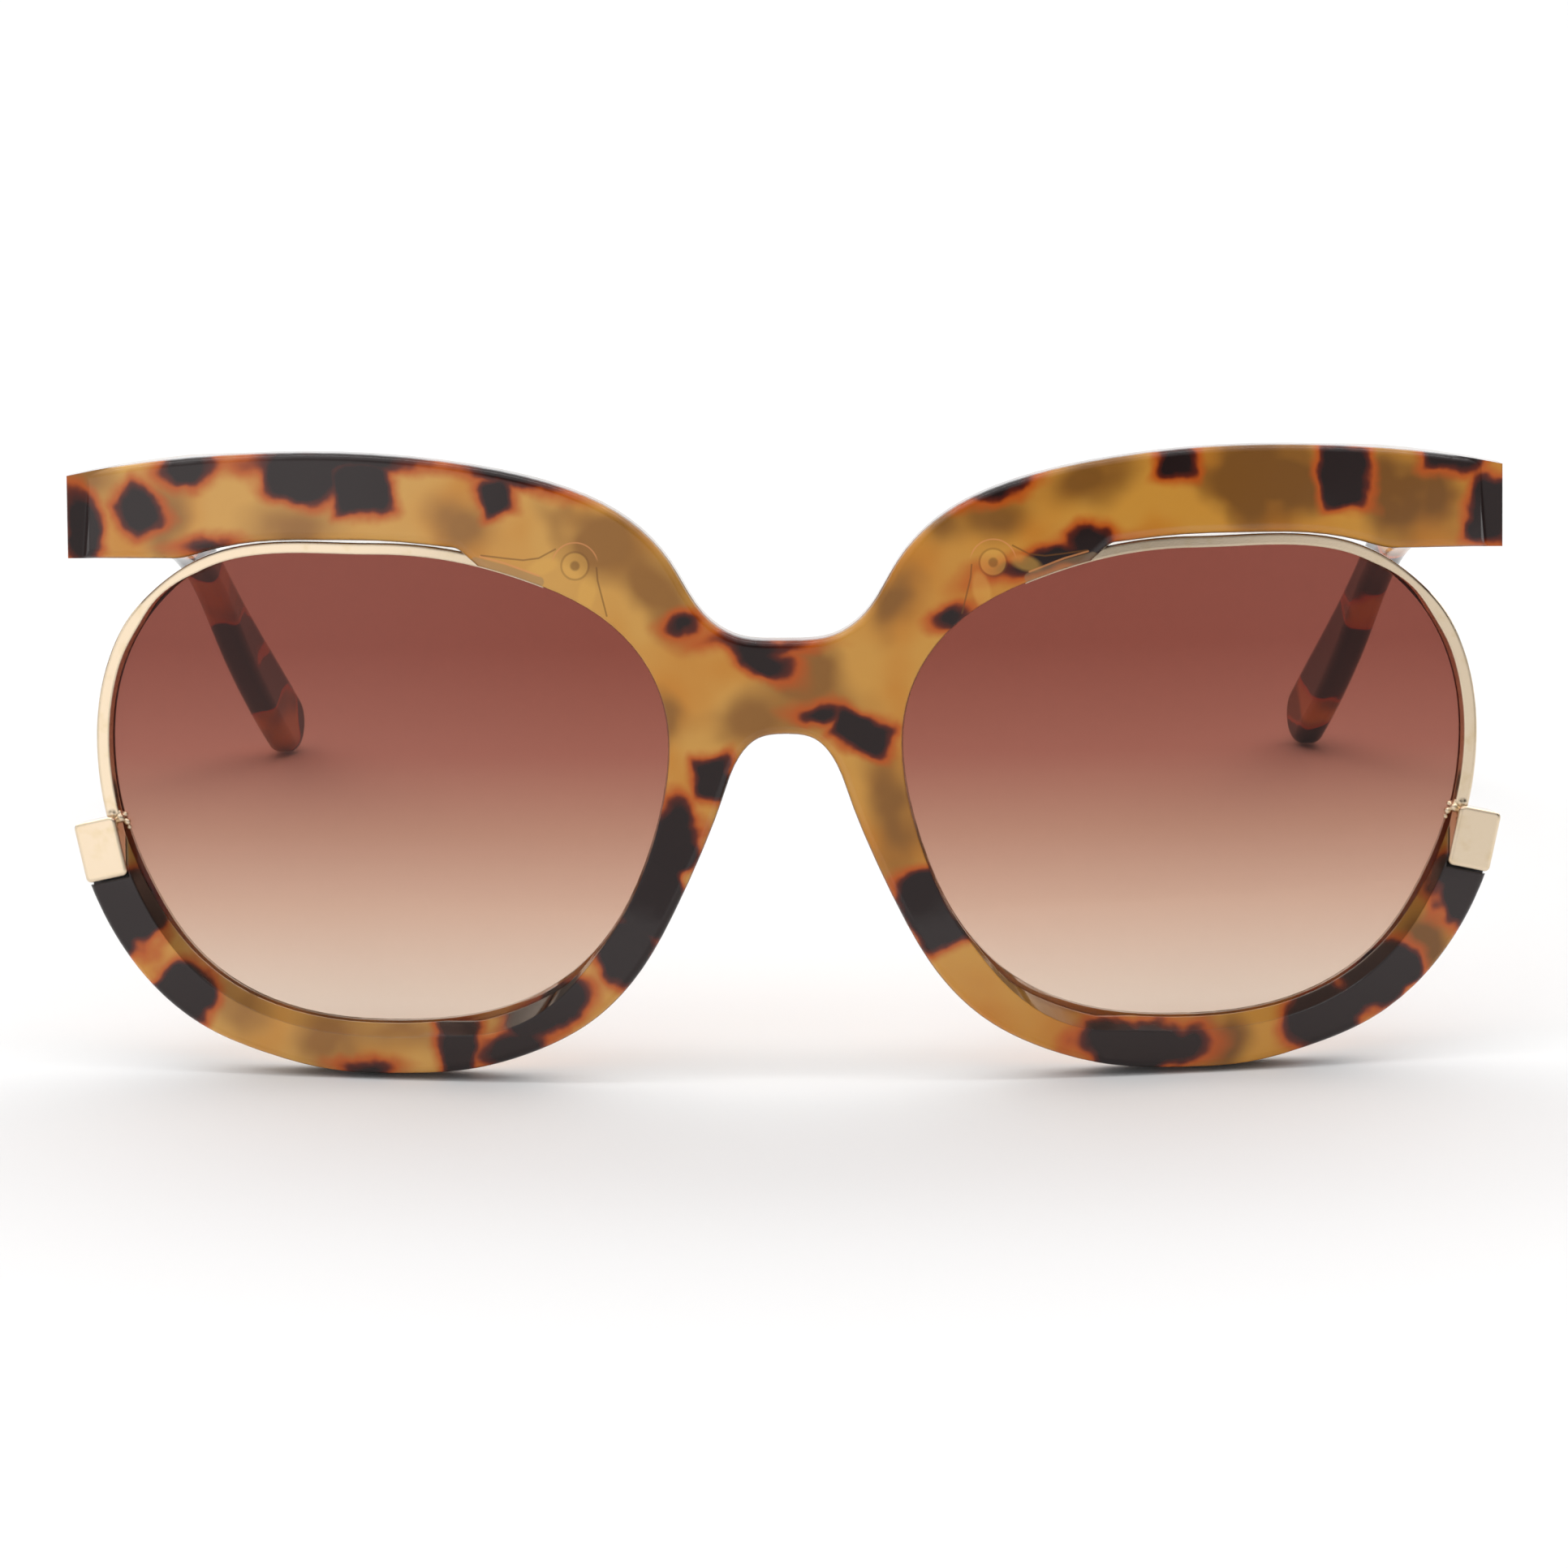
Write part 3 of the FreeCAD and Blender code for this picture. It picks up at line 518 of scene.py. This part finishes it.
metals = {
    # colour, worn colour, roughness, ripple and edge rounding in mm
    "polishedGold": (gold, wornGold, 0.1, 0.01, 0.32),
    "goldScrew": (wornGold, hingeSteel, 0.22, 0.03, 0.12),
    "hingeMetal": (hingeSteel, wornGold, 0.2, 0.03, 0.12),
    "coreMetal": (coreSteel, hingeSteel, 0.3, 0.03, 0.12),
}

brushing = {
    "patchGrain": (0.5, 3.0),
    "patchBand": (0.5, 0.8),
    "stretch": (1, 0.25, 1),
    "grain": (6.0, 2.0),
    "rough": 0.04,
    "depth": 0.2,
}


def polishedMetal(name, colour, worn, roughness, ripple, rounding):
    material, flow = newMaterial(name)
    place = objectPlace(flow)
    patches = place.grain(*brushing["patchGrain"]).ease(*brushing["patchBand"])
    fine = (place * brushing["stretch"]).grain(*brushing["grain"])
    normal = fineNormal(flow, fine, ripple, brushing["depth"], rounding)
    shader = flow.node("BsdfPrincipled", {}, {
        "Base Color": patches.tint(colour, worn), "Metallic": 1.0,
        "Roughness": roughness + fine * brushing["rough"], "Normal": normal})
    finishMaterial(flow, shader)
    return material


def dress(name, material):
    slots = nodes[name].data.materials
    slots.clear()
    slots.append(material)


metal = {name: polishedMetal(name, *finish) for name, finish in metals.items()}
lensMaterial = gradientLens()
templeMaterial = templeAcetate()
padMaterial = honeyAcetate()
dress("front_frame", frontAcetate())
sideMaterials = {
    "lens": lensMaterial, "temple": templeMaterial, "nose_pad": padMaterial,
    "rim_wire": metal["polishedGold"], "corner_block": metal["polishedGold"],
    "rim_screw": metal["goldScrew"], "block_screw": metal["goldScrew"],
    "hinge_screw": metal["goldScrew"],
    "hinge_front": metal["hingeMetal"], "hinge_front_rivets": metal["hingeMetal"],
    "hinge_temple": metal["hingeMetal"], "hinge_temple_rivets": metal["hingeMetal"],
    "temple_core": metal["coreMetal"],
}
for side in sides:
    for piece, material in sideMaterials.items():
        dress(piece + "_" + side, material)
print("materials on every node")


# small lumps of solder where each wire meets its corner block
solder = {
    "at": (69.0, 26.3),  # across and up the front
    "depth": 1.2,
    # across, up, back and radius of each bead, in mm
    "beads": [(0.0, 0.0, 0.0, 0.5), (-0.75, -0.35, 0.1, 0.36), (0.15, 0.55, 0.1, 0.33),
              (-0.55, 0.4, 0.35, 0.28), (-0.95, -0.95, 0.3, 0.24)],
    "fineness": 4,
    "lumpScale": 1400,
    "lump": 0.12,
}


def solderBeads(side, sign):
    mesh = bmesh.new()
    for across, up, back, radius in solder["beads"]:
        middle = fromFront(sign * (solder["at"][0] + across), solder["at"][1] + up, solder["depth"] + back)
        before = len(mesh.verts)
        bmesh.ops.create_icosphere(mesh, subdivisions=solder["fineness"], radius=radius * mm,
                                   matrix=Matrix.Translation(middle))
        mesh.verts.ensure_lookup_table()
        for vertex in mesh.verts[before:]:
            away = vertex.co - middle
            lump = noise.noise(vertex.co * solder["lumpScale"]) * solder["lump"]
            vertex.co = middle + away * (1 + lump)
    for face in mesh.faces:
        face.smooth = True
    data = bpy.data.meshes.new("solder_" + side)
    mesh.to_mesh(data)
    mesh.free()
    piece = bpy.data.objects.new("solder_beads_" + side, data)
    bpy.context.scene.collection.objects.link(piece)
    piece.data.materials.append(metal["polishedGold"])
    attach(piece, "front")


for side, sign in sides.items():
    solderBeads(side, sign)
print("solder beads added")


studio = {
    # the sheet ends about a quarter of a metre ahead of the rims, so the metal mirrors the room instead
    "floorAhead": 0.32,
    "floorSize": 12.0,
    "floor": shade(231, 231, 231),
    "stripHeight": 1.5,
    "stripAhead": 0.1,
    "stripLong": 1.8,
    "stripDeep": 0.12,
    "stripPower": 4.0,
}


def floorSheet():
    half = studio["floorSize"] / 2
    mesh = bpy.data.meshes.new("floor")
    near = -studio["floorAhead"]
    mesh.from_pydata([(-half, near, 0), (half, near, 0), (half, half, 0), (-half, half, 0)], [],
                     [(0, 1, 2, 3)])
    floor = bpy.data.objects.new("floor", mesh)
    bpy.context.scene.collection.objects.link(floor)
    material, flow = newMaterial("floorPaper")
    finishMaterial(flow, flow.node("BsdfDiffuse", {}, {"Color": studio["floor"]}))
    mesh.materials.append(material)


# a pale room's light by direction: a patch adds its power where all its bands are open, and a band
# opens along the direction's X, Y or Z, or along its X without the sign
room = {
    "base": 0.64,
    "patches": {
        "boxRight": (0.65, [("Y", 0.2, -0.3), ("X", -0.1, -0.4)]),
        "boxLeft": (0.25, [("Y", 0.2, -0.3), ("X", 0.28, 0.45)]),
        "gapLeft": (-0.5, [("Y", 0.2, -0.3), ("X", -0.12, 0.1), ("Z", 0.2, 0.26), ("Z", 0.8, 0.7)]),
        "gapRight": (-0.6, [("Y", 0.2, -0.3), ("X", 0.1, -0.12), ("Z", 0.32, 0.4), ("Z", 0.8, 0.7)]),
        "ceiling": (0.4, [("Z", 0.5, 0.9)]),
        "bandBehind": (2.2, [("Y", 0.1, 0.5), ("Z", 0.18, 0.32), ("Z", 0.85, 0.65)]),
        "lowBehind": (-0.4, [("Y", 0.1, 0.5), ("Z", 0.25, 0.15)]),
        "sideSlits": (3.0, [("side", 0.8, 0.9), ("Y", 0.05, 0.1), ("Y", 0.3, 0.2), ("Z", 0.5, 0.3)]),
        "sideCards": (-0.5, [("side", 0.6, 0.8), ("Z", 0.7, 0.5)]),
    },
}


def softWorld():
    world = bpy.data.worlds.new("studio")
    bpy.context.scene.world = world
    world.use_nodes = True
    world.node_tree.nodes.clear()
    flow = Flow(world.node_tree)
    direction = flow.node("TexCoord", {}, {}, "Generated")
    reach = {axis: direction.part(axis) for axis in "XYZ"}
    reach["side"] = reach["X"].size()
    light = room["base"]
    for power, bands in room["patches"].values():
        for axis, low, high in bands:
            power = reach[axis].ease(low, high) * power
        light = power + light
    lit = flow.node("Background", {}, {"Color": (1, 1, 1, 1), "Strength": light})
    seen = flow.node("Background", {}, {"Color": (1, 1, 1, 1), "Strength": 1.0})  # white where looked at
    looking = flow.node("LightPath", {}, {}, "Is Camera Ray")
    flow.node("OutputWorld", {}, {"Surface": flow.node("MixShader", {}, {0: looking, 1: lit, 2: seen})})


def topStrip():
    # a long narrow softbox overhead draws the thin highlights along the upper edges
    data = bpy.data.lights.new("topStrip", "AREA")
    data.shape = "RECTANGLE"
    data.size = studio["stripLong"]
    data.size_y = studio["stripDeep"]
    data.energy = studio["stripPower"]
    strip = bpy.data.objects.new("topStrip", data)
    strip.location = (0, -studio["stripAhead"], studio["stripHeight"])
    bpy.context.scene.collection.objects.link(strip)
    strip.visible_camera = False


# where the camera stands, in metres, and how it is turned, in degrees
view = {
    "ahead": 0.650,  # of the front's nearest point
    "aside": 0.0055,
    "height": 0.1868,
    "pitch": 13.44,
    "yaw": 0.5,
    "roll": 0.59,
    "lens": 150.9,
    "sensor": 36.0,
    "nearest": 0.01,
    "farthest": 100.0,
}


def lookFrom():
    data = bpy.data.cameras.new("camera")
    data.sensor_width = view["sensor"]
    data.lens = view["lens"]
    data.clip_start = view["nearest"]
    data.clip_end = view["farthest"]
    camera = bpy.data.objects.new("camera", data)
    bpy.context.scene.collection.objects.link(camera)
    spot = Matrix.Translation((view["aside"], cadBox[0][1] - view["ahead"], view["height"]))
    turn = Matrix.Rotation(math.radians(view["yaw"]), 4, "Z")
    turn = turn @ Matrix.Rotation(math.radians(90 - view["pitch"]), 4, "X")
    camera.matrix_world = spot @ turn @ Matrix.Rotation(math.radians(-view["roll"]), 4, "Z")
    bpy.context.scene.camera = camera


floorSheet()
softWorld()
topStrip()
lookFrom()
bpy.context.scene.view_settings.view_transform = "Standard"
print("studio ready")
